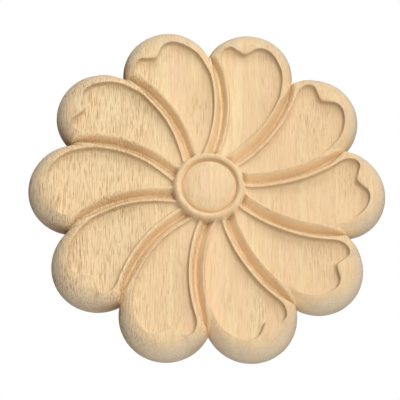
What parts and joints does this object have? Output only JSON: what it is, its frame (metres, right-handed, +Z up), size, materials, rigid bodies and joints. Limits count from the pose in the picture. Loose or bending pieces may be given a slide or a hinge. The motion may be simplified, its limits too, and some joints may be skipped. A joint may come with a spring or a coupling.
{
  "type": "carved wooden rosette applique",
  "caption": "Round carved wooden rosette with swirled, lobed petals round a low turned boss, flat at the back, glued to furniture, doors or walls as an ornament.",
  "frame": {"origin": "middle of the flat back, which lies against the wall or panel", "axes": "the back looks along +Y and the carved face along -Y; +Z is up as in the picture and +X is to the right seen from the front; the grain runs along Z"},
  "size_m": [0.15, 0.0124, 0.1446],
  "materials": {
    "pale_wood": "unfinished pale hardwood, carved and lightly sanded"
  },
  "bodies": {
    "root": {"rosette": "pale_wood"}
  },
  "joints": []
}
